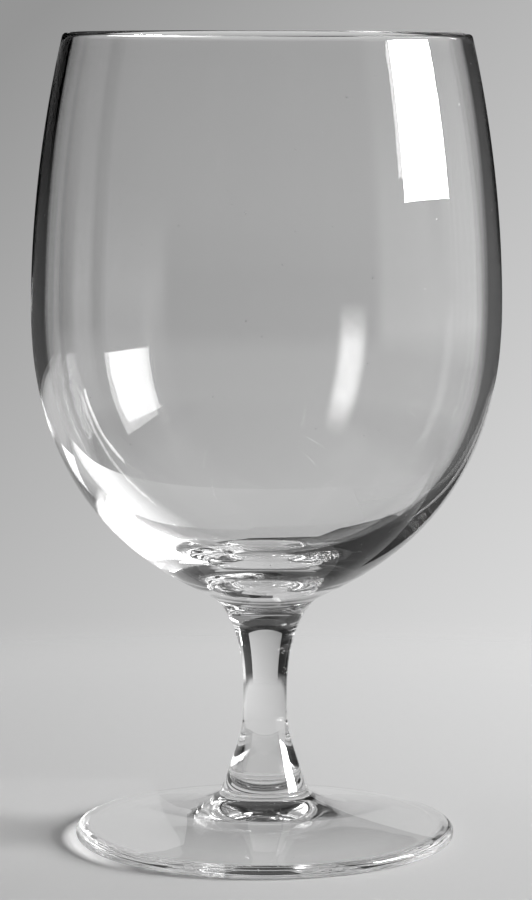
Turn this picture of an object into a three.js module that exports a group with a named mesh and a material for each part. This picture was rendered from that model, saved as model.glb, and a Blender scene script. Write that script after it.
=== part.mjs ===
// A goblet of clear glass: an open bowl, a waisted stem and a round foot, fused to one another.
// Lengths are in millimetres and angles in degrees. The glass turns about Z, +Z is up, and the
// origin is the middle of the plane that it stands on.

import * as THREE from 'three';

// Heights of the three pieces
const FOOT_HEIGHT = 9; // from the table to the seam under the stem
const STEM_LENGTH = 36.1; // from one seam to the other
const BOWL_HEIGHT = 104.9; // from the seam over the stem to the top of the rim

// Seams: the flat discs where two pieces are fused
const FOOT_SEAM_RADIUS = 8.15;
const BOWL_SEAM_RADIUS = 9.15;

// Bowl, with its heights above its seam
const BOWL_RADIUS = 43.45; // outside, at the widest place
const BOWL_WIDEST_HEIGHT = 54;
const RIM_RADIUS = 37.6; // outside
const RIM_LEAN = 13; // how far the wall leans in at the rim
const BOWL_BASE_SLOPE = 35; // how steeply the outside leaves the seam
const RIM_WALL = 2;
const BOWL_WALL = 2.5; // at the widest place
const FLOOR_THICKNESS = 6.2; // at the axis

// How far the bowl's curves run on before they bend
const RIM_PULL = 15; // down the wall from the rim
const SHOULDER_PULL = 17.9; // up from the widest place
const BELLY_PULL = 41.4; // down from the widest place, outside
const BOWL_BASE_PULL = 5.7; // out from the seam
const INNER_BELLY_PULL = 41; // down from the widest place, inside
const FLOOR_PULL = 12; // out from the axis across the floor

// Stem, with its heights above the seam under it
const WAIST_RADIUS = 4.1;
const WAIST_HEIGHT = 17.7;
const TOP_FLARE_LENGTH = 5.5; // from where the flare leaves the waist's line up to the bowl
const BASE_FLARE_LENGTH = 11.2; // from where the flare leaves the waist's line down to the foot
const WAIST_UPPER_PULL = 4.3; // how far the waist runs on before it bends, up
const WAIST_LOWER_PULL = 5.9; // and down

// Foot
const FOOT_RADIUS = 35.4;
const EDGE_THICKNESS = 2.5;
const EDGE_ROUNDING = 1.15;
const FOOT_SLOPE = 10; // of the cone on top
const FOOT_FLARE_RADIUS = 18; // where the cone starts to sweep up to the stem
const RING_WIDTH = 1.8; // of the flat ring that the foot stands on
const HOLLOW_DEPTH = 4.6; // of the underside, at the axis
const HOLLOW_CROWN_RADIUS = 6; // how far the underside runs on level from the axis before it bends

// How finely the round forms are cut into flat ones
const SIDES = 48; // round the axis
const LONG_CURVE_STEPS = 16;
const SHORT_CURVE_STEPS = 9;
const LIP_STEPS = 12;
const EDGE_STEPS = 5;

// Outlines are lists of points of radius and height, walked with the glass on the left hand.

function point(radius, height) {
  return new THREE.Vector2(radius, height);
}

function above(start, distance) {
  return point(start.x, start.y + distance);
}

function below(start, distance) {
  return above(start, -distance);
}

// The point at a distance from another, in a direction given in degrees above level
function along(start, degrees, distance) {
  const angle = THREE.MathUtils.degToRad(degrees);
  return point(start.x + distance * Math.cos(angle), start.y + distance * Math.sin(angle));
}

// The points of a curve after its first, so that one stretch can follow another
function stretch(curve, steps) {
  return curve.getPoints(steps).slice(1);
}

function arc(centre, radius, fromDegrees, toDegrees) {
  const from = THREE.MathUtils.degToRad(fromDegrees);
  const to = THREE.MathUtils.degToRad(toDegrees);
  return new THREE.EllipseCurve(centre.x, centre.y, radius, radius, from, to);
}

// Up the outside, over the rounded lip, and down the inside to the middle of the floor
function bowlOutline() {
  const seamEdge = point(BOWL_SEAM_RADIUS, 0);
  const widest = point(BOWL_RADIUS, BOWL_WIDEST_HEIGHT);
  const widestInside = point(BOWL_RADIUS - BOWL_WALL, BOWL_WIDEST_HEIGHT);
  const floor = point(0, FLOOR_THICKNESS);

  const lipRadius = RIM_WALL / 2;
  const lipSetback = lipRadius * Math.cos(THREE.MathUtils.degToRad(RIM_LEAN));
  const lipCentre = point(RIM_RADIUS - lipSetback, BOWL_HEIGHT - lipRadius);
  const lipOutside = along(lipCentre, RIM_LEAN, lipRadius);
  const lipInside = along(lipCentre, RIM_LEAN + 180, lipRadius);
  const downTheWall = RIM_LEAN - 90;

  const belly = new THREE.CubicBezierCurve(
    seamEdge,
    along(seamEdge, BOWL_BASE_SLOPE, BOWL_BASE_PULL),
    below(widest, BELLY_PULL),
    widest,
  );
  const shoulder = new THREE.CubicBezierCurve(
    widest,
    above(widest, SHOULDER_PULL),
    along(lipOutside, downTheWall, RIM_PULL),
    lipOutside,
  );
  const innerShoulder = new THREE.CubicBezierCurve(
    lipInside,
    along(lipInside, downTheWall, RIM_PULL),
    above(widestInside, SHOULDER_PULL),
    widestInside,
  );
  const innerBelly = new THREE.CubicBezierCurve(
    widestInside,
    below(widestInside, INNER_BELLY_PULL),
    point(FLOOR_PULL, FLOOR_THICKNESS),
    floor,
  );
  return [
    point(0, 0),
    seamEdge,
    ...stretch(belly, LONG_CURVE_STEPS),
    ...stretch(shoulder, SHORT_CURVE_STEPS),
    ...stretch(arc(lipCentre, lipRadius, RIM_LEAN, RIM_LEAN + 180), LIP_STEPS),
    ...stretch(innerShoulder, SHORT_CURVE_STEPS),
    ...stretch(innerBelly, LONG_CURVE_STEPS),
  ];
}

// From the foot's seam in to the waist and out again to the bowl's seam
function stemOutline() {
  const footSeamEdge = point(FOOT_SEAM_RADIUS, 0);
  const bowlSeamEdge = point(BOWL_SEAM_RADIUS, STEM_LENGTH);
  const waist = point(WAIST_RADIUS, WAIST_HEIGHT);

  const baseFlare = new THREE.CubicBezierCurve(
    footSeamEdge,
    point(WAIST_RADIUS, BASE_FLARE_LENGTH),
    below(waist, WAIST_LOWER_PULL),
    waist,
  );
  const topFlare = new THREE.CubicBezierCurve(
    waist,
    above(waist, WAIST_UPPER_PULL),
    point(WAIST_RADIUS, STEM_LENGTH - TOP_FLARE_LENGTH),
    bowlSeamEdge,
  );
  return [
    point(0, 0),
    footSeamEdge,
    ...stretch(baseFlare, SHORT_CURVE_STEPS),
    ...stretch(topFlare, SHORT_CURVE_STEPS),
    point(0, STEM_LENGTH),
  ];
}

// Out under the hollow underside, over the resting ring and the rounded edge, and up the cone,
// which sweeps into the line of the stem's base
function footOutline() {
  const rounding = Math.min(EDGE_ROUNDING, EDGE_THICKNESS / 2);
  const roundingRadius = FOOT_RADIUS - rounding;
  const lowerCentre = point(roundingRadius, rounding);
  const upperCentre = point(roundingRadius, EDGE_THICKNESS - rounding);
  const ringInside = point(roundingRadius - RING_WIDTH, 0);
  const hollowMiddle = point(0, HOLLOW_DEPTH);
  const hollow = new THREE.QuadraticBezierCurve(
    hollowMiddle,
    point(HOLLOW_CROWN_RADIUS, HOLLOW_DEPTH),
    ringInside,
  );

  const coneFall = Math.tan(THREE.MathUtils.degToRad(FOOT_SLOPE));
  const coneEdge = along(upperCentre, 90 - FOOT_SLOPE, rounding);
  const coneTop = point(FOOT_FLARE_RADIUS, coneEdge.y + (coneEdge.x - FOOT_FLARE_RADIUS) * coneFall);

  const seamEdge = point(FOOT_SEAM_RADIUS, FOOT_HEIGHT);
  const stemSpread = (FOOT_SEAM_RADIUS - WAIST_RADIUS) / BASE_FLARE_LENGTH;
  const seamAboveCone = seamEdge.y - coneEdge.y - (coneEdge.x - seamEdge.x) * coneFall;
  const drop = seamAboveCone / (1 - stemSpread * coneFall);
  const stemLineMeetsCone = point(seamEdge.x + stemSpread * drop, seamEdge.y - drop);
  const sweep = new THREE.QuadraticBezierCurve(coneTop, stemLineMeetsCone, seamEdge);
  return [
    hollowMiddle,
    ...stretch(hollow, SHORT_CURVE_STEPS),
    ...arc(lowerCentre, rounding, -90, 0).getPoints(EDGE_STEPS),
    ...arc(upperCentre, rounding, 0, 90 - FOOT_SLOPE).getPoints(EDGE_STEPS),
    coneTop,
    ...stretch(sweep, SHORT_CURVE_STEPS),
    point(0, FOOT_HEIGHT),
  ];
}

function clearGlass() {
  return new THREE.MeshStandardMaterial({
    color: 0xf4f7f6,
    roughness: 0.03,
    metalness: 0,
    transparent: true,
    opacity: 0.35,
  });
}

// A solid of clear glass, turned from its outline and set down at a height
function turned(name, outline, height) {
  const geometry = new THREE.LatheGeometry(outline, SIDES);
  geometry.rotateX(Math.PI / 2);
  const piece = new THREE.Mesh(geometry, clearGlass());
  piece.name = name;
  piece.position.z = height;
  return piece;
}

const goblet = new THREE.Group();
goblet.add(turned('foot', footOutline(), 0));
goblet.add(turned('stem', stemOutline(), FOOT_HEIGHT));
goblet.add(turned('bowl', bowlOutline(), FOOT_HEIGHT + STEM_LENGTH));

export default goblet;
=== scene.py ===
"""A clear glass goblet on a pale table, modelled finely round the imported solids.

Lengths are in metres and angles in degrees. The goblet turns about Z, +Z is up, and the camera
looks along +Y with +X to the right. Levels of light are linear, and 1 is white.
"""

import math

import bpy
import numpy as np
from mathutils import Matrix, Vector


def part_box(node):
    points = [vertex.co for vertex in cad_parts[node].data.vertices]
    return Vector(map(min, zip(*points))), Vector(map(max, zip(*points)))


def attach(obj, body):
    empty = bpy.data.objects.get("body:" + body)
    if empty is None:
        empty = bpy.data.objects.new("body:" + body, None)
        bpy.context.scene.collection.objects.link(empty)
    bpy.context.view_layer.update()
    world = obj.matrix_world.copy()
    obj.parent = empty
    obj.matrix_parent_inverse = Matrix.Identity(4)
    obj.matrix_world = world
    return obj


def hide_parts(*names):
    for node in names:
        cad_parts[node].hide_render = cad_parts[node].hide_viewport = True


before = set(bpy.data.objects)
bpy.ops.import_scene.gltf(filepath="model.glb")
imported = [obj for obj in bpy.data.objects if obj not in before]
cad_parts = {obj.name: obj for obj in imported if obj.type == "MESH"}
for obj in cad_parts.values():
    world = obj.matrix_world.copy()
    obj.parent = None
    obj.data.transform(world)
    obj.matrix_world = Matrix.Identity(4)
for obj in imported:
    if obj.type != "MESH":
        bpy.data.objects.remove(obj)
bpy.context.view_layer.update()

# Camera
CAMERA_DISTANCE = 0.6859  # level, from the axis of the goblet
CAMERA_HEIGHT = 0.1592
CAMERA_TILT = 7.16  # down
CAMERA_ROLL = 0.2
LENS_MM = 148.96
SENSOR_MM = 36  # along the picture's long side

# Fine meshes
SEGMENTS = 256  # round the axis
STEPS = 5  # between two points of a solid's outline
CORNER_TURN = 25  # an outline that turns more than this at a point has a corner there
PLACE_DIGITS = 7  # points of a solid that agree in so many decimals are one
CLOSE = 1e-6  # a distance shorter than this is none
LEAST_BEND = 1e-9  # added to every bend, so that the weights of a straight stretch are not 0

# Glass
GLASS_COLOURS = {
    "bowl": (0.912, 0.912, 0.912),
    "stem": (0.977, 0.977, 0.977),
    "foot": (0.977, 0.977, 0.977),
}
GLASS_IOR = 1.5
WAVES = 40  # to a metre, in the glass's slightly uneven face
WAVE_HEIGHT = 0.000012
DRAWN_LINES = 260  # to a metre, running up the glass
DRAWN_LINE_HEIGHT = 0.0000008
WIPE_MARKS = 90  # to a metre, running up the glass
WIPE_MARK_RANGE = (0.5, 0.8)  # levels of the noise between which a wipe mark starts
WIPE_MARK_SHARE = 0.008  # most that a wipe mark takes of the clear glass
WIPE_MARK_ROUGHNESS = 0.03
SPECKS = 800  # to a metre
SPECK_RANGE = (0.76, 0.79)  # levels of the noise between which a speck starts
SPECK_SHARE = 0.3
DRAW = 12  # how much longer marks that run up the glass are than wide

# Table. Slopes, here and below, are the changes of a level for each metre to the right, back and up.
TABLE_COLOUR = (0.536, 0.536, 0.536)
TABLE_ROUGHNESS = 0.5
TABLE_SHINE = 0.2
TABLE_RADIUS = 0.25
TABLE_FADE_START = 0.17  # from this distance out the table fades into the background
TABLE_DROP = 0.00005  # keeps the table's face clear of the foot's
TABLE_PALENESS = 0.15  # share of its look that is pale by itself; light and shadow make the rest
TABLE_PALENESS_IN_GLASS = 0.95  # the same share where the glass sees it
TABLE_LEVEL = 0.61  # of the paleness, in the middle
TABLE_SLOPES = (1.5, 0, 0)
TABLE_CAMERA_SLOPES = (1.0, 4.0, 0)  # added for the camera alone

# Painted shade: places where the glass sees the table darker. Each starts at the first distance and is
# whole at the second, where the table has lost the share that follows.
MIRRORED_TABLE_BACK = (0.06, 0.03)  # back from the axis, where the glass mirrors the table
MIRRORED_TABLE_PAINTED_SHADE = 0.6
TABLE_SIDES = (0.1, 0.14)  # to the right and left
TABLE_SIDE_PAINTED_SHADE = 0.7
UNDER_FOOT = (0.024, 0)  # from the axis
UNDER_FOOT_PAINTED_SHADE = 0.3

# Painted caustic: a bright crescent of light painted on the table beside the foot
PAINTED_CAUSTIC_TOWARD = (-0.975, -0.22, 0)  # direction from the axis
PAINTED_CAUSTIC_REACH = (0.0285, 0.0355)  # distances that way between which it starts
PAINTED_CAUSTIC_RING = (0.0305, 0.0384)  # distances from the axis between which it lies
PAINTED_CAUSTIC_LEVEL = 0.55

# Background that the camera sees behind the goblet. Its slopes are for a direction of view whose
# length is 1.
BACKGROUND_LEVEL = 0.368  # straight ahead on the horizon
BACKGROUND_SLOPES = (1.32, 0, -1.35)
BACKGROUND_RANGE = (0.30, 0.72)

# Backdrop: a card of the same look that the glass sees behind it
BACKDROP_DISTANCE = 0.5
BACKDROP_HALF_WIDTH = 0.22
BACKDROP_HEIGHTS = (-0.3, 0.185)
BACKDROP_LEVEL = 0.555  # in its middle, at the table's height
BACKDROP_SLOPES = (0.65, 0, -0.8)

# Flags: cards near the goblet that only some of the light in the glass meets, by how often the glass
# has reflected it and how many of its faces it has met. The level of a flag is that on the axis at
# the table's height, and the limits are its least and greatest level.
DARK_TO_WHITE = (0, 1)

# Upright flags behind the goblet, with corners to the right and up: dark ones for the bowl's edges,
# and a pale one for the top of the foot
UPRIGHT_FLAG_DISTANCE = 0.05
UPRIGHT_FLAG_REFLECTIONS = (1, 4)  # fewest and most
UPRIGHT_FLAG_FACES = 1  # fewest
UPRIGHT_FLAGS = {
    "left_flag": {
        "corners": ((-0.125, 0.075), (-0.042, 0.075), (-0.040, 0.17), (-0.125, 0.17)),
        "level": 0.058,
        "slopes": (-1.0, 0, -1.0),
        "limits": DARK_TO_WHITE,
    },
    "right_flag": {
        "corners": (
            (0.040, 0.004),
            (0.125, 0.004),
            (0.125, 0.17),
            (0.042, 0.17),
            (0.042, 0.085),
            (0.056, 0.075),
            (0.056, 0.06),
            (0.046, 0.035),
        ),
        "level": -0.05,
        "slopes": (2.5, 0, -0.6),
        "limits": DARK_TO_WHITE,
    },
    "low_flag": {
        "corners": ((-0.2, 0), (-0.022, 0), (-0.022, 0.045), (-0.2, 0.045)),
        "level": 0.6,
        "slopes": (0, 0, 0),
        "limits": DARK_TO_WHITE,
    },
}

# Flags that lie on the table, with corners to the right and back: a dark one for the right of the
# bowl's base, and a bright one for its left
TABLE_FLAG_HEIGHT = 0.0005
TABLE_FLAG_REFLECTIONS = (0, 1)
TABLE_FLAG_FACES = 3
TABLE_FLAGS = {
    "dark_flag": {
        "corners": (
            (-0.003, 0.045),
            (0.015, 0.045),
            (0.022, 0.028),
            (0.06, 0.028),
            (0.06, 0.111),
            (0.03, 0.108),
            (0.02, 0.100),
            (0.011, 0.078),
            (-0.003, 0.070),
        ),
        "level": 0.02,
        "slopes": (0, 0, 0),
        "limits": DARK_TO_WHITE,
    },
    "bright_flag": {
        "corners": (
            (-0.13, 0.10),
            (-0.005, 0.10),
            (-0.003, 0.113),
            (0.03, 0.113),
            (0.03, 0.25),
            (-0.13, 0.25),
        ),
        "level": 1.04,
        "slopes": (-59.6, -14.2, 0),
        "limits": (0.66, 3.0),
    },
}

# Room that the glass sees, with a pale floor all round. Angles go from +X, the right, to +Y, the back,
# and heights are given by the sines of the angles above level.
RIGHT_WALL = 0.50
WALLS = (  # angles, and the levels there
    (-180, 0.002),
    (-156, 0.002),
    (-150, 0.006),
    (-36, 0.01),
    (-30, RIGHT_WALL),
    (36, RIGHT_WALL),
    (42, 0.05),
    (66, 0.03),
    (114, 0.001),
    (180, 0.002),
)
WALL_GAPS = ((16.0, 0.95), (19.0, 0.95), (26.0, 0.90))  # the same for bright gaps in the right wall
WALL_GAP_REACH = 0.8  # from the middle of a gap to the wall beside it
WALL_LIGHT = 2.5  # radiance of the level 1
WALL_FADE_SINE = (-0.1, 0.25)  # between these the walls get darker
WALL_FADE = 0.75  # share of their light that they lose
ROUND_LIGHT = 4.0  # added to the walls for light that is led round in the glass
ROUND_REFLECTIONS = 8  # fewest of such light
ROOM_FLOOR = 0.55
ROOM_FLOOR_SINE = (-0.20, -0.10)  # between these the floor ends
CEILING_LIGHT = 0.06
CEILING_SINE = (0.35, 0.40)  # between these the ceiling starts
CEILING_BACK = (0.2, 0.5)  # and between these, for the part of a direction that points back
BOWL_FACES = 4  # of both walls of the bowl
BOWL_VIEW_LEVEL = 0.45  # of what shows straight through them beside the backdrop
BOWL_VIEW_SINE = (0.26, 0.30)  # between these it gives way to the room

# Lamps in the room that only some of the light in the glass meets: the angles and sines that each
# fills, its radiance, and the fewest reflections and faces passed of the light that meets it
ROOM_LAMPS = {
    "high on the right": {
        "angles": (-58, -28),
        "sines": (0.45, 0.75),
        "light": 4.0,
        "reflections": 2,
        "faces": 0,
    },
    "in front on the left": {
        "angles": (-147, -129),
        "sines": (-0.04, 0.62),
        "light": 7.5,
        "reflections": 1,
        "faces": 4,
    },
}

# Light on the table and the goblet: a weak even fill, and softboxes on the right, with the angles from
# +X and the heights that they fill, their radiance, and how far each is turned in its own plane
FILL_LIGHT = 0.1
SOFTBOX_DISTANCE = 1.0
SOFTBOXES = {
    "window": {"angles": (-19.0, 11.0), "heights": (0.21, 0.60), "light": 50.0, "roll": -4.0},
    "strip": {"angles": (38.5, 41.5), "heights": (0.21, 0.60), "light": 10.0, "roll": 0.0},
}

MOST_BOUNCES = 64  # enough for light that is led round in the glass
BETWEEN_COUNTS = 0.5  # whole counts are told apart halfway between them


# Fine outlines

def outline(node):
    """A turned solid's outline as rows of radius and height, walked along the edges over +X."""
    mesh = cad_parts[node].data
    places = [(round(v.co.x, PLACE_DIGITS), round(v.co.z, PLACE_DIGITS)) for v in mesh.vertices]
    over_x = [abs(v.co.y) < CLOSE and v.co.x > -CLOSE for v in mesh.vertices]
    neighbours = {}
    for edge in mesh.edges:
        a, b = edge.vertices
        if over_x[a] and over_x[b] and places[a] != places[b]:
            neighbours.setdefault(places[a], set()).add(places[b])
            neighbours.setdefault(places[b], set()).add(places[a])
    ends = [place for place in neighbours if len(neighbours[place]) == 1]
    here = min(ends, key=lambda place: place[1])
    walked = [here]
    while True:
        onward = [place for place in neighbours[here] if place not in walked]
        if not onward:
            return np.array(walked)
        here = onward[0]
        walked.append(here)


def corners(points):
    """The numbers of the first point, the last, and those where the outline turns sharply."""
    steps = np.diff(points, axis=0)
    heading = np.degrees(np.arctan2(steps[:, 1], steps[:, 0]))
    turn = (np.diff(heading) + 180) % 360 - 180
    sharp = [i + 1 for i in range(len(turn)) if abs(turn[i]) > CORNER_TURN]
    return [0, *sharp, len(points) - 1]


def curve_through(points):
    """A smooth curve through points, straight where they are straight. Its direction at each point
    is a mean of the steps on both sides, where the one on the straighter side counts for more."""
    steps = np.diff(points, axis=0)
    lengths = np.linalg.norm(steps, axis=1)
    heading = steps / lengths[:, None]
    first = 2 * heading[0] - heading[1]
    last = 2 * heading[-1] - heading[-2]
    padded = np.vstack([2 * first - heading[0], first, heading, last, 2 * last - heading[-1]])
    bend = np.linalg.norm(np.diff(padded, axis=0), axis=1) + LEAST_BEND
    earlier, later = bend[:-2, None], bend[2:, None]
    direction = (later * padded[1:-2] + earlier * padded[2:-1]) / (earlier + later)
    direction /= np.linalg.norm(direction, axis=1)[:, None]
    t = np.linspace(0, 1, STEPS, endpoint=False)[:, None]
    stretches = []
    for i, length in enumerate(lengths):
        start = (2 * t**3 - 3 * t**2 + 1) * points[i] + (t**3 - 2 * t**2 + t) * length * direction[i]
        end = (3 * t**2 - 2 * t**3) * points[i + 1] + (t**3 - t**2) * length * direction[i + 1]
        stretches.append(start + end)
    return np.vstack(stretches)


def fine_outline(node):
    """A solid's outline with its curves cut more finely. It stays within the solid's own heights."""
    points = outline(node)
    marks = corners(points)
    stretches = []
    for start, end in zip(marks, marks[1:]):
        if end - start == 1:
            stretches.append(points[start:end])
        else:
            stretches.append(curve_through(points[start:end + 1]))
    fine = np.vstack([*stretches, points[-1:]])
    fine[:, 0] = np.maximum(fine[:, 0], 0)
    fine[:, 1] = np.clip(fine[:, 1], points[:, 1].min(), points[:, 1].max())
    return fine


# Objects

def add_object(name, data):
    added_object = bpy.data.objects.new(name, data)
    bpy.context.scene.collection.objects.link(added_object)
    return added_object


def add_mesh(name, vertices, faces):
    mesh = bpy.data.meshes.new(name)
    mesh.from_pydata(vertices, [], faces)
    return add_object(name, mesh)


def polar(angle, radius, height):
    turn = math.radians(angle)
    return Vector((radius * math.cos(turn), radius * math.sin(turn), height))


def turned(name, node, seam_heights):
    """A fine turned mesh in place of a node. Faces in a fused seam take the second material."""
    rows = fine_outline(node)
    turns = np.linspace(0, 2 * math.pi, SEGMENTS, endpoint=False)
    vertices = []
    rings = []
    for radius, height in rows:
        first = len(vertices)
        if radius < CLOSE:
            vertices.append((0, 0, height))
            rings.append([first] * SEGMENTS)
        else:
            vertices.extend((radius * math.cos(turn), radius * math.sin(turn), height) for turn in turns)
            rings.append(list(range(first, first + SEGMENTS)))

    heights = rows[:, 1]
    faces = []
    in_seam = []
    for i, (lower, upper) in enumerate(zip(rings, rings[1:])):
        level = abs(heights[i] - heights[i + 1]) < CLOSE
        seam = level and any(abs(heights[i] - height) < CLOSE for height in seam_heights)
        for k in range(SEGMENTS):
            after = (k + 1) % SEGMENTS
            corners_of_face = dict.fromkeys((lower[k], lower[after], upper[after], upper[k]))
            faces.append(tuple(corners_of_face))
            in_seam.append(seam)

    piece = add_mesh(name, vertices, faces)
    piece.data.polygons.foreach_set("use_smooth", [not seam for seam in in_seam])
    piece.data.polygons.foreach_set("material_index", [int(seam) for seam in in_seam])
    piece.data.update()
    return piece


# Nodes that give numbers

def give(tree, socket, value):
    """Sets a socket to a number, or links it to a node that gives one."""
    if isinstance(value, (int, float)):
        socket.default_value = value
    else:
        tree.links.new(value, socket)


def math_node(tree, operation, *values):
    node = tree.nodes.new("ShaderNodeMath")
    node.operation = operation
    for socket, value in zip(node.inputs, values):
        give(tree, socket, value)
    return node.outputs["Value"]


def product(tree, first, *others):
    result = first
    for value in others:
        result = math_node(tree, "MULTIPLY", result, value)
    return result


def clamped(tree, value, ends):
    return math_node(tree, "MINIMUM", math_node(tree, "MAXIMUM", value, ends[0]), ends[1])


def at_least(tree, count, number):
    """1 where a count has come to a number, and 0 elsewhere."""
    return math_node(tree, "GREATER_THAN", count, number - BETWEEN_COUNTS)


def fewer_than(tree, count, number):
    """1 where a count has not come to a number, and 0 elsewhere."""
    return math_node(tree, "LESS_THAN", count, number - BETWEEN_COUNTS)


def step(tree, value, ends, interpolation="LINEAR"):
    """A share that goes from 0 to 1 as a value goes from one end to the other."""
    node = tree.nodes.new("ShaderNodeMapRange")
    node.interpolation_type = interpolation
    node.inputs["From Min"].default_value = ends[0]
    node.inputs["From Max"].default_value = ends[1]
    tree.links.new(value, node.inputs["Value"])
    return node.outputs["Result"]


def within(tree, value, ends):
    """A share that rises softly from 0 at both ends to 1 in the middle between them."""
    middle, half = (ends[0] + ends[1]) / 2, (ends[1] - ends[0]) / 2
    away = math_node(tree, "ABSOLUTE", math_node(tree, "SUBTRACT", value, middle))
    return step(tree, away, (half, half / 2))


def axes_of(tree, vector):
    split = tree.nodes.new("ShaderNodeSeparateXYZ")
    tree.links.new(vector, split.inputs["Vector"])
    return split.outputs


def length_of(tree, vector):
    node = tree.nodes.new("ShaderNodeVectorMath")
    node.operation = "LENGTH"
    tree.links.new(vector, node.inputs[0])
    return node.outputs["Value"]


def sloping_level(tree, place, slopes, level):
    """A level that changes evenly with the place or direction given, by the slopes along its axes."""
    slope = tree.nodes.new("ShaderNodeVectorMath")
    slope.operation = "DOT_PRODUCT"
    slope.inputs[1].default_value = slopes
    tree.links.new(place, slope.inputs[0])
    return math_node(tree, "ADD", slope.outputs["Value"], level)


def seen_by_glass(tree, ray):
    return math_node(tree, "MAXIMUM", ray["Is Glossy Ray"], ray["Is Transmission Ray"])


def noise(tree, place, scale, stretch=1):
    """Soft noise about 0.5 with a number of waves to a metre, drawn out along the axis."""
    squeeze = tree.nodes.new("ShaderNodeVectorMath")
    squeeze.operation = "MULTIPLY"
    squeeze.inputs[1].default_value = (1, 1, 1 / stretch)
    texture = tree.nodes.new("ShaderNodeTexNoise")
    texture.inputs["Scale"].default_value = scale
    tree.links.new(place, squeeze.inputs[0])
    tree.links.new(squeeze.outputs["Vector"], texture.inputs["Vector"])
    return texture.outputs["Fac"]


def bump(tree, height, size, below=None):
    """The face's direction with unevenness of some size, on top of other unevenness."""
    node = tree.nodes.new("ShaderNodeBump")
    node.inputs["Distance"].default_value = size
    tree.links.new(height, node.inputs["Height"])
    if below is not None:
        tree.links.new(below, node.inputs["Normal"])
    return node.outputs["Normal"]


# Shaders

def transparent(tree):
    return tree.nodes.new("ShaderNodeBsdfTransparent").outputs["BSDF"]


def emission(tree, strength):
    node = tree.nodes.new("ShaderNodeEmission")
    tree.links.new(strength, node.inputs["Strength"])
    return node.outputs["Emission"]


def background(tree, strength, colour=None):
    """A background shader, white unless a node gives its colour."""
    node = tree.nodes.new("ShaderNodeBackground")
    node.inputs["Color"].default_value = (1, 1, 1, 1)
    if colour is not None:
        tree.links.new(colour, node.inputs["Color"])
    give(tree, node.inputs["Strength"], strength)
    return node.outputs["Background"]


def mixed(tree, share, first, second):
    """The first shader, with a share of the second in its place."""
    mix = tree.nodes.new("ShaderNodeMixShader")
    tree.links.new(share, mix.inputs["Fac"])
    tree.links.new(first, mix.inputs[1])
    tree.links.new(second, mix.inputs[2])
    return mix.outputs["Shader"]


def added(tree, first, second):
    total = tree.nodes.new("ShaderNodeAddShader")
    tree.links.new(first, total.inputs[0])
    tree.links.new(second, total.inputs[1])
    return total.outputs["Shader"]


# Materials

def new_material(name):
    """An empty material, its tree of nodes and the socket for its surface."""
    material = bpy.data.materials.new(name)
    material.use_nodes = True
    tree = material.node_tree
    tree.nodes.clear()
    surface = tree.nodes.new("ShaderNodeOutputMaterial").inputs["Surface"]
    return material, tree, surface


def glass_material(name, colour):
    """Clear glass with a slightly uneven face, faint wipe marks and a few specks of dust."""
    material, tree, surface = new_material(name)
    shader = tree.nodes.new("ShaderNodeBsdfPrincipled")
    shader.inputs["Base Color"].default_value = (*colour, 1)
    shader.inputs["IOR"].default_value = GLASS_IOR
    place = tree.nodes.new("ShaderNodeTexCoord").outputs["Object"]

    wiped = step(tree, noise(tree, place, WIPE_MARKS, DRAW), WIPE_MARK_RANGE)
    specks = step(tree, noise(tree, place, SPECKS), SPECK_RANGE)
    dust = math_node(tree, "MULTIPLY_ADD", specks, SPECK_SHARE, product(tree, wiped, WIPE_MARK_SHARE))
    tree.links.new(math_node(tree, "SUBTRACT", 1, dust), shader.inputs["Transmission Weight"])
    tree.links.new(product(tree, wiped, WIPE_MARK_ROUGHNESS), shader.inputs["Roughness"])

    waves = bump(tree, noise(tree, place, WAVES), WAVE_HEIGHT)
    lines = bump(tree, noise(tree, place, DRAWN_LINES, DRAW), DRAWN_LINE_HEIGHT, waves)
    tree.links.new(lines, shader.inputs["Normal"])
    tree.links.new(shader.outputs["BSDF"], surface)
    return material


def seam_material():
    """Inside the fused glass there is nothing to see, so light goes straight through a seam."""
    material, tree, surface = new_material("fused_seam")
    tree.links.new(transparent(tree), surface)
    return material


def table_level(tree, place, distance, ray):
    """The level of the table's paleness, with painted shade at the places that are darker in the glass.
    """
    axes = axes_of(tree, place)
    level = sloping_level(tree, place, TABLE_SLOPES, TABLE_LEVEL)
    for_camera = sloping_level(tree, place, TABLE_CAMERA_SLOPES, 0)
    level = math_node(tree, "MULTIPLY_ADD", for_camera, ray["Is Camera Ray"], level)

    # Painted shade in what the glass sees: darker where it mirrors the table near the back, to the sides
    # and under the foot
    near = step(tree, axes["Y"], MIRRORED_TABLE_BACK)
    aside = step(tree, math_node(tree, "ABSOLUTE", axes["X"]), TABLE_SIDES)
    under = step(tree, distance, UNDER_FOOT)
    painted_shade = product(tree, ray["Is Reflection Ray"], near, MIRRORED_TABLE_PAINTED_SHADE)
    painted_shade = math_node(tree, "MULTIPLY_ADD", aside, TABLE_SIDE_PAINTED_SHADE, painted_shade)
    painted_shade = math_node(tree, "MULTIPLY_ADD", under, UNDER_FOOT_PAINTED_SHADE, painted_shade)
    kept = math_node(tree, "SUBTRACT", 1, product(tree, seen_by_glass(tree, ray), painted_shade))
    return product(tree, level, math_node(tree, "MAXIMUM", kept, 0))


def painted_caustic(tree, place, distance, ray):
    """A painted caustic: a bright crescent of light painted on the table beside the foot, for the camera
    alone.
    """
    reach = step(tree, sloping_level(tree, place, PAINTED_CAUSTIC_TOWARD, 0), PAINTED_CAUSTIC_REACH)
    ring = within(tree, distance, PAINTED_CAUSTIC_RING)
    return product(tree, reach, ring, ray["Is Camera Ray"], PAINTED_CAUSTIC_LEVEL)


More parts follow.
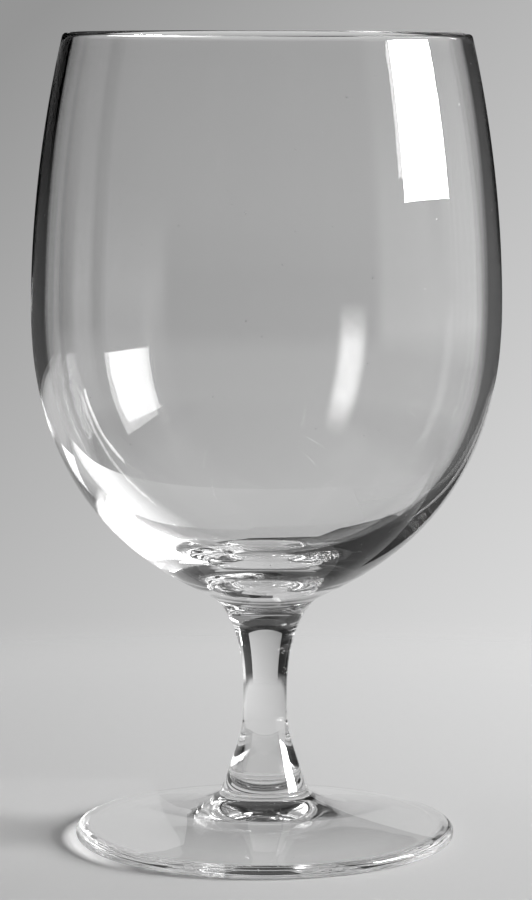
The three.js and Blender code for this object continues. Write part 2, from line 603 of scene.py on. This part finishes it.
def table_material():
    """Matt and lit, and partly pale by itself, as far as the camera and the glass see it."""
    material, tree, surface = new_material("table")
    place = tree.nodes.new("ShaderNodeTexCoord").outputs["Object"]
    distance = length_of(tree, place)
    ray = tree.nodes.new("ShaderNodeLightPath").outputs

    matt = tree.nodes.new("ShaderNodeBsdfPrincipled")
    matt.inputs["Base Color"].default_value = (*TABLE_COLOUR, 1)
    matt.inputs["Roughness"].default_value = TABLE_ROUGHNESS
    matt.inputs["Specular IOR Level"].default_value = TABLE_SHINE
    pale = emission(tree, table_level(tree, place, distance, ray))
    in_glass = product(tree, seen_by_glass(tree, ray), TABLE_PALENESS_IN_GLASS)
    paleness = math_node(tree, "MULTIPLY_ADD", ray["Is Camera Ray"], TABLE_PALENESS, in_glass)
    look = mixed(tree, paleness, matt.outputs["BSDF"], pale)

    # The painted caustic beside the foot, a glow for the camera alone
    caustic_glow = emission(tree, painted_caustic(tree, place, distance, ray))
    fade = step(tree, distance, (TABLE_FADE_START, TABLE_RADIUS), "SMOOTHSTEP")
    tree.links.new(mixed(tree, fade, added(tree, look, caustic_glow), transparent(tree)), surface)
    return material


def backdrop_material():
    material, tree, surface = new_material("backdrop")
    place = tree.nodes.new("ShaderNodeTexCoord").outputs["Object"]
    level = sloping_level(tree, place, BACKDROP_SLOPES, BACKDROP_LEVEL)
    tree.links.new(emission(tree, level), surface)
    return material


def flag_material(name, flag, reflections, faces):
    """Seen by light that the glass has reflected and led on so often, and clear for all other light."""
    material, tree, surface = new_material(name)
    ray = tree.nodes.new("ShaderNodeLightPath").outputs
    fewest, most = reflections
    enough = at_least(tree, ray["Glossy Depth"], fewest)
    not_too_many = fewer_than(tree, ray["Glossy Depth"], most + 1)
    seen = product(tree, enough, not_too_many, at_least(tree, ray["Ray Depth"], faces))
    place = tree.nodes.new("ShaderNodeTexCoord").outputs["Object"]
    level = sloping_level(tree, place, flag["slopes"], flag["level"])
    glow = emission(tree, clamped(tree, level, flag["limits"]))
    tree.links.new(mixed(tree, seen, transparent(tree), glow), surface)
    return material


# Stage

def make_table():
    ring = [tuple(polar(360 * k / SEGMENTS, TABLE_RADIUS, -TABLE_DROP)) for k in range(SEGMENTS)]
    table = add_mesh("table", ring, [tuple(range(SEGMENTS))])
    table.data.materials.append(table_material())


def make_card(name, vertices, material):
    """A card that only the glass sees."""
    card = add_mesh(name, vertices, [tuple(range(len(vertices)))])
    card.data.materials.append(material)
    card.visible_camera = False
    card.visible_diffuse = False
    card.visible_shadow = False


def upright(corners_of_card, distance):
    return [(x, distance, z) for x, z in corners_of_card]


def lying(corners_of_card, height):
    return [(x, y, height) for x, y in corners_of_card]


def make_backdrop():
    half = BACKDROP_HALF_WIDTH
    bottom, top = BACKDROP_HEIGHTS
    corners_of_card = ((-half, bottom), (half, bottom), (half, top), (-half, top))
    make_card("backdrop", upright(corners_of_card, BACKDROP_DISTANCE), backdrop_material())


def make_flags():
    for name, flag in UPRIGHT_FLAGS.items():
        material = flag_material(name, flag, UPRIGHT_FLAG_REFLECTIONS, UPRIGHT_FLAG_FACES)
        make_card(name, upright(flag["corners"], UPRIGHT_FLAG_DISTANCE), material)
    for name, flag in TABLE_FLAGS.items():
        material = flag_material(name, flag, TABLE_FLAG_REFLECTIONS, TABLE_FLAG_FACES)
        make_card(name, lying(flag["corners"], TABLE_FLAG_HEIGHT), material)


def make_softbox(name, angles, heights, light, roll):
    """An upright rectangle of light that faces the axis, between two angles round it."""
    width = 2 * SOFTBOX_DISTANCE * math.tan(math.radians(angles[1] - angles[0]) / 2)
    height = heights[1] - heights[0]
    lamp = bpy.data.lights.new(name, "AREA")
    lamp.shape = "RECTANGLE"
    lamp.size = width
    lamp.size_y = height
    lamp.energy = light * math.pi * width * height
    softbox = add_object(name, lamp)
    middle = polar(sum(angles) / 2, SOFTBOX_DISTANCE, sum(heights) / 2)
    outward = Vector((middle.x, middle.y, 0)).normalized()
    up = Vector((0, 0, 1))
    facing = Matrix((up.cross(outward), up, outward)).transposed().to_4x4()
    turn = Matrix.Rotation(math.radians(roll), 4, "Z")
    softbox.matrix_world = Matrix.Translation(middle) @ facing @ turn
    softbox.visible_camera = False


# World

def wall_levels():
    """The angles and levels of the walls in order, with the gaps in the right wall."""
    levels = list(WALLS)
    for middle, level in WALL_GAPS:
        levels.append((middle - WALL_GAP_REACH, RIGHT_WALL))
        levels.append((middle, level))
        levels.append((middle + WALL_GAP_REACH, RIGHT_WALL))
    return sorted(levels)


def room_walls(tree, axes, angle, ray):
    """The walls round the goblet: darker above, and brighter for light led round in the glass."""
    ramp = tree.nodes.new("ShaderNodeValToRGB")
    ramp_middle = 0.5  # where the angle is 0; the ends are half a turn away
    levels = wall_levels()
    stops = ramp.color_ramp.elements
    while len(stops) < len(levels):
        stops.new(1)
    for stop, (degrees, level) in zip(stops, levels):
        stop.position = degrees / 360 + ramp_middle
        stop.color = (level, level, level, 1)
    turn = math_node(tree, "MULTIPLY_ADD", angle, 1 / (2 * math.pi), ramp_middle)
    tree.links.new(turn, ramp.inputs["Fac"])

    upper = step(tree, axes["Z"], WALL_FADE_SINE)
    light = math_node(tree, "MULTIPLY_ADD", upper, -WALL_FADE * WALL_LIGHT, WALL_LIGHT)
    led_round = at_least(tree, ray["Glossy Depth"], ROUND_REFLECTIONS)
    light = math_node(tree, "MULTIPLY_ADD", led_round, ROUND_LIGHT, light)
    return background(tree, light, ramp.outputs["Color"])


def room_lamp(tree, axes, angle, ray, lamp):
    """How much light a lamp in the room sends to light in the glass that may meet it."""
    around = within(tree, angle, [math.radians(end) for end in lamp["angles"]])
    up = within(tree, axes["Z"], lamp["sines"])
    reflected = at_least(tree, ray["Glossy Depth"], lamp["reflections"])
    passed = at_least(tree, ray["Transmission Depth"], lamp["faces"])
    return product(tree, around, up, reflected, passed, lamp["light"])


def room(tree, direction, ray):
    """What the glass mirrors and bends: walls, lamps, a ceiling and a floor."""
    axes = axes_of(tree, direction)
    angle = math_node(tree, "ARCTAN2", axes["Y"], axes["X"])
    overhead = step(tree, axes["Z"], CEILING_SINE)
    behind = step(tree, axes["Y"], CEILING_BACK)
    light = product(tree, overhead, behind, CEILING_LIGHT)
    for lamp in ROOM_LAMPS.values():
        light = math_node(tree, "ADD", light, room_lamp(tree, axes, angle, ray, lamp))
    lit_walls = added(tree, room_walls(tree, axes, angle, ray), background(tree, light))

    over_card = step(tree, axes["Z"], BOWL_VIEW_SINE)
    bowl_view = mixed(tree, over_card, background(tree, BOWL_VIEW_LEVEL), lit_walls)
    through_bowl = at_least(tree, ray["Transmission Depth"], BOWL_FACES)
    unreflected = fewer_than(tree, ray["Glossy Depth"], 1)
    above_floor = mixed(tree, product(tree, through_bowl, unreflected), lit_walls, bowl_view)
    over_floor = step(tree, axes["Z"], ROOM_FLOOR_SINE)
    return mixed(tree, over_floor, background(tree, ROOM_FLOOR), above_floor)


def make_world():
    """A background for the camera, a fill for the table and a room for the glass."""
    world = bpy.data.worlds.new("studio")
    bpy.context.scene.world = world
    world.use_nodes = True
    tree = world.node_tree
    tree.nodes.clear()
    surface = tree.nodes.new("ShaderNodeOutputWorld").inputs["Surface"]
    direction = tree.nodes.new("ShaderNodeTexCoord").outputs["Generated"]
    ray = tree.nodes.new("ShaderNodeLightPath").outputs

    level = sloping_level(tree, direction, BACKGROUND_SLOPES, BACKGROUND_LEVEL)
    behind_goblet = background(tree, clamped(tree, level, BACKGROUND_RANGE))
    outside_glass = mixed(tree, ray["Is Camera Ray"], background(tree, FILL_LIGHT), behind_goblet)
    before_table = fewer_than(tree, ray["Diffuse Depth"], 1)
    in_glass = product(tree, seen_by_glass(tree, ray), before_table)
    tree.links.new(mixed(tree, in_glass, outside_glass, room(tree, direction, ray)), surface)


def make_camera():
    camera = bpy.data.cameras.new("camera")
    camera.sensor_width = SENSOR_MM
    camera.lens = LENS_MM
    holder = add_object("camera", camera)
    holder.location = (0, -CAMERA_DISTANCE, CAMERA_HEIGHT)
    aim = Matrix.Rotation(math.radians(90 - CAMERA_TILT), 4, "X")
    roll = Matrix.Rotation(math.radians(CAMERA_ROLL), 4, "Z")
    holder.rotation_mode = "QUATERNION"
    holder.rotation_quaternion = (aim @ roll).to_quaternion()
    bpy.context.scene.camera = holder


# The goblet and its studio

stem_bottom, stem_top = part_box("stem")
seams = (stem_bottom[2], stem_top[2])
fused_seam = seam_material()
for node in ("bowl", "stem", "foot"):
    piece = turned("glass_" + node, node, seams)
    piece.data.materials.append(glass_material(node + "_glass", GLASS_COLOURS[node]))
    piece.data.materials.append(fused_seam)
    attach(piece, "root")
    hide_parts(node)

make_camera()
make_table()
make_backdrop()
make_flags()
for name, settings in SOFTBOXES.items():
    make_softbox(name, **settings)
make_world()

scene = bpy.context.scene
scene.view_settings.view_transform = "Standard"
scene.cycles.max_bounces = MOST_BOUNCES
scene.cycles.transmission_bounces = MOST_BOUNCES
scene.cycles.glossy_bounces = MOST_BOUNCES
scene.cycles.transparent_max_bounces = MOST_BOUNCES
